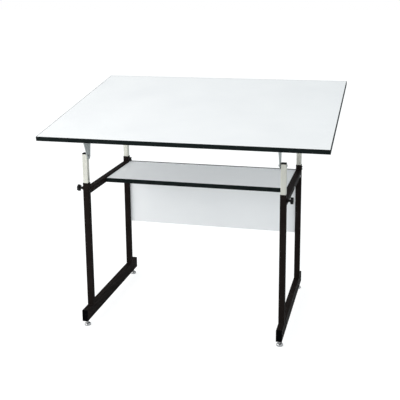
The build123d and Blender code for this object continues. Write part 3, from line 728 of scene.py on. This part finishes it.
def frame_beads():
    """Beads where the rails meet the posts, and at the ends of the panel's fixing plates."""
    beads = []

    def across(low, high, y, z, first, second):
        start = Vector((low.x + CORNER_CLEAR, y, z))
        end = Vector((high.x - CORNER_CLEAR, y, z))
        beads.append(bead(start, end, first, second, WELD_SIZE))

    for name in SIDES:
        low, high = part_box(f"{name}_upper_rail")
        for y, way in ((low.y, BACK), (high.y, -BACK)):
            across(low, high, y, high.z, way, UP)
            across(low, high, y, low.z, way, -UP)
    for corner in CORNERS:
        low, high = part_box(f"{corner}_post")
        for y, way in ((low.y, -BACK), (high.y, BACK)):
            across(low, high, y, low.z, way, UP)
    for points in solids("panel_fixing_plates"):
        side = side_of(points)
        x = side * max(abs(point.x) for point in points)
        y = min(point.y for point in points)
        low, high = (pick(point.z for point in points) for pick in (min, max))
        start = Vector((x, y, low + PLATE_WELD_CLEAR))
        end = Vector((x, y, high - PLATE_WELD_CLEAR))
        beads.append(bead(start, end, side * RIGHT, BACK, PLATE_WELD_SIZE))
    return beads


def nut_weld(points, way):
    """A rippled ring round the foot of a nut."""
    base = end_face(points, -way)
    size, flat = NUT_WELD_SIZE, CLAMP_NUT_FLATS / 2
    inward, downward = NUT_WELD_ROOT
    section = (
        (-inward, -downward), (size, -downward),
        (0.8 * size, 0.4 * size), (0.3 * size, 0.8 * size), (-inward, size),
    )

    def outline(angle, radius, height):
        swell = WELD_RIPPLE * size * math.sin(NUT_WELD_RIPPLES * angle)
        return radius + flat * (1 / math.cos(from_flat(angle)) - 1) + swell

    profile = [(flat + offset, height, outline) for offset, height in section]
    return lathe(facing(base, way), profile, NUT_WELD_STEPS)


def clamp_nut_way(points):
    """The clamp nuts stand on the front posts' outer sides, and on the rear posts' backs."""
    return side_of(points) * RIGHT if points[0].y < 0 else BACK


def add_details():
    """Stands finer pieces in for the small CAD nodes, and adds the welds."""
    for corner in CORNERS:
        knob(corner)
        glide(corner)
    screws("bracket_screws", -top_normal())
    screws("panel_screws", BACK)
    bolts("shelf_bolts", SHELF_HEAD_HEIGHT)
    for end in ENDS:
        bolts(f"{end}_pivot_bolts", PIVOT_HEAD_HEIGHT)
        node = f"{end}_pivot_nuts"
        sizes = (PIVOT_NUT_FLATS, BOLT_RADIUS, PIVOT_NUT_COLLAR)
        shells = [nut(points, -side_of(points) * RIGHT, *sizes) for points in solids(node)]
        stand_in(node, f"{end}_lock_nuts", shells, loop=True)
    clamps = [(points, clamp_nut_way(points)) for points in solids("clamp_nuts")]
    shells = [nut(points, way, CLAMP_NUT_FLATS, CLAMP_BORE, 0) for points, way in clamps]
    stand_in("clamp_nuts", "weld_nuts", shells, loop=True)
    rings = skin("nut_welds", [nut_weld(points, way) for points, way in clamps], loop=True)
    place_piece(rings, "base", "frame_enamel")
    place_piece(skin("frame_welds", frame_beads()), "base", "frame_enamel")


# ---- Floor, light and camera ----

def mix_by_ray(tree, rays, plain, seen):
    """Mixes two shaders: these kinds of ray see the second, and all others the first."""
    path = tree.nodes.new("ShaderNodeLightPath")
    factor = path.outputs[rays[0]]
    for ray in rays[1:]:
        either = tree.nodes.new("ShaderNodeMath")
        either.operation = "MAXIMUM"
        tree.links.new(factor, either.inputs[0])
        tree.links.new(path.outputs[ray], either.inputs[1])
        factor = either.outputs[0]
    mix = tree.nodes.new("ShaderNodeMixShader")
    tree.links.new(factor, mix.inputs[0])
    tree.links.new(plain, mix.inputs[1])
    tree.links.new(seen, mix.inputs[2])
    return mix.outputs[0]


WHITE = (1, 1, 1, 1)
FLOOR_SIZE = 60.0
FLOOR_GLOW = 0.78          # part of the floor's white that shadow can't take away
FLOOR_SHADE = 0.36         # part of it that shadow can
FLOOR_BOUNCE = 0.7         # how white the floor is as the table sees it
WORLD_COLOR = (0.90, 0.975, 1, 1)
WORLD_LIGHT = 0.81
WORLD_MIRRORED = 0.58      # how bright the surroundings look in a glossy surface
SEEN_DIRECTLY = ("Is Camera Ray", "Is Transmission Ray")


def grey(level):
    return (level, level, level, 1)


def make_floor():
    """A floor that looks white, but for the table's soft shadow, and lights it from below."""
    bpy.ops.mesh.primitive_plane_add(size=FLOOR_SIZE, location=(0, 0, 0))
    floor = bpy.context.object
    floor.name = "studio_floor"
    material = bpy.data.materials.new("studio_floor")
    material.use_nodes = True
    tree = material.node_tree
    tree.nodes.remove(tree.nodes["Principled BSDF"])
    glow = tree.nodes.new("ShaderNodeEmission")
    glow.inputs["Color"].default_value = WHITE
    glow.inputs["Strength"].default_value = FLOOR_GLOW
    shade = tree.nodes.new("ShaderNodeBsdfDiffuse")
    shade.inputs["Color"].default_value = grey(FLOOR_SHADE)
    seen = tree.nodes.new("ShaderNodeAddShader")
    tree.links.new(glow.outputs[0], seen.inputs[0])
    tree.links.new(shade.outputs[0], seen.inputs[1])
    lit = tree.nodes.new("ShaderNodeBsdfDiffuse")
    lit.inputs["Color"].default_value = grey(FLOOR_BOUNCE)
    surface = mix_by_ray(tree, SEEN_DIRECTLY, lit.outputs[0], seen.outputs[0])
    tree.links.new(surface, tree.nodes["Material Output"].inputs["Surface"])
    floor.data.materials.append(material)


def make_world():
    """White to the camera, a cool fill light on the table, and greyer in its reflections."""
    world = bpy.data.worlds.new("studio")
    bpy.context.scene.world = world
    world.use_nodes = True
    tree = world.node_tree
    white = tree.nodes["Background"]
    fill = tree.nodes.new("ShaderNodeBackground")
    mirrored = tree.nodes.new("ShaderNodeBackground")
    for node, color, strength in (
        (white, WHITE, 1.0),
        (fill, WORLD_COLOR, WORLD_LIGHT),
        (mirrored, WHITE, WORLD_MIRRORED),
    ):
        node.inputs["Color"].default_value = color
        node.inputs["Strength"].default_value = strength
    glossy = mix_by_ray(tree, ("Is Glossy Ray",), fill.outputs[0], mirrored.outputs[0])
    surface = mix_by_ray(tree, SEEN_DIRECTLY, glossy, white.outputs[0])
    tree.links.new(surface, tree.nodes["World Output"].inputs["Surface"])


# Place, aim, width and height, watts and colour
LAMPS = {
    "key": ((-1.6, -1.8, 3.2), (0, 0, 0.7), (3.4, 3.4), 37, (1, 0.90, 0.85)),
    "front": ((-2.1, -3.4, 1.6), (-0.2, 0.0, 0.6), (2.4, 1.8), 38.5, (1, 1, 1)),
    "left": ((-3.9, -1.2, 1.9), (0, 0, 0.6), (3.6, 2.8), 42, (1, 1, 1)),
    "right": ((3.9, -0.8, 1.9), (0, 0, 0.6), (3.6, 2.8), 14, (1, 1, 1)),
}


def softbox(name, place, target, size, power, color):
    """A rectangular lamp that looks at a target."""
    light = bpy.data.lights.new(name, "AREA")
    light.shape = "RECTANGLE"
    light.size, light.size_y = size
    light.energy = power
    light.color = color
    lamp = bpy.data.objects.new(name, light)
    lamp.location = place
    lamp.rotation_euler = (Vector(target) - Vector(place)).to_track_quat("-Z", "Y").to_euler()
    bpy.context.scene.collection.objects.link(lamp)


CAMERA_PLACE = Vector((0.8226, -3.3033, 1.4859))
CAMERA_TURN = math.radians(14.257)     # to the left of straight ahead
CAMERA_DIP = math.radians(12.115)
CAMERA_ROLL = math.radians(0.506)
CAMERA_LENS = 68.6
CAMERA_SHIFT = -0.15


def make_camera():
    """The photo's viewpoint."""
    ahead = Vector((
        -math.sin(CAMERA_TURN) * math.cos(CAMERA_DIP),
        math.cos(CAMERA_TURN) * math.cos(CAMERA_DIP),
        -math.sin(CAMERA_DIP),
    ))
    level = Vector((math.cos(CAMERA_TURN), math.sin(CAMERA_TURN), 0))
    down = ahead.cross(level)
    right = level * math.cos(CAMERA_ROLL) + down * math.sin(CAMERA_ROLL)
    up = level * math.sin(CAMERA_ROLL) - down * math.cos(CAMERA_ROLL)
    turn = Matrix((right, up, -ahead)).transposed().to_4x4()
    data = bpy.data.cameras.new("camera")
    data.lens = CAMERA_LENS
    data.shift_y = CAMERA_SHIFT
    camera = bpy.data.objects.new("camera", data)
    camera.matrix_world = Matrix.Translation(CAMERA_PLACE) @ turn
    bpy.context.scene.collection.objects.link(camera)
    bpy.context.scene.camera = camera


paint_cad_nodes()
add_details()
make_floor()
make_world()
for lamp_name, lamp_facts in LAMPS.items():
    softbox(lamp_name, *lamp_facts)
make_camera()
bpy.context.scene.view_settings.view_transform = "Standard"
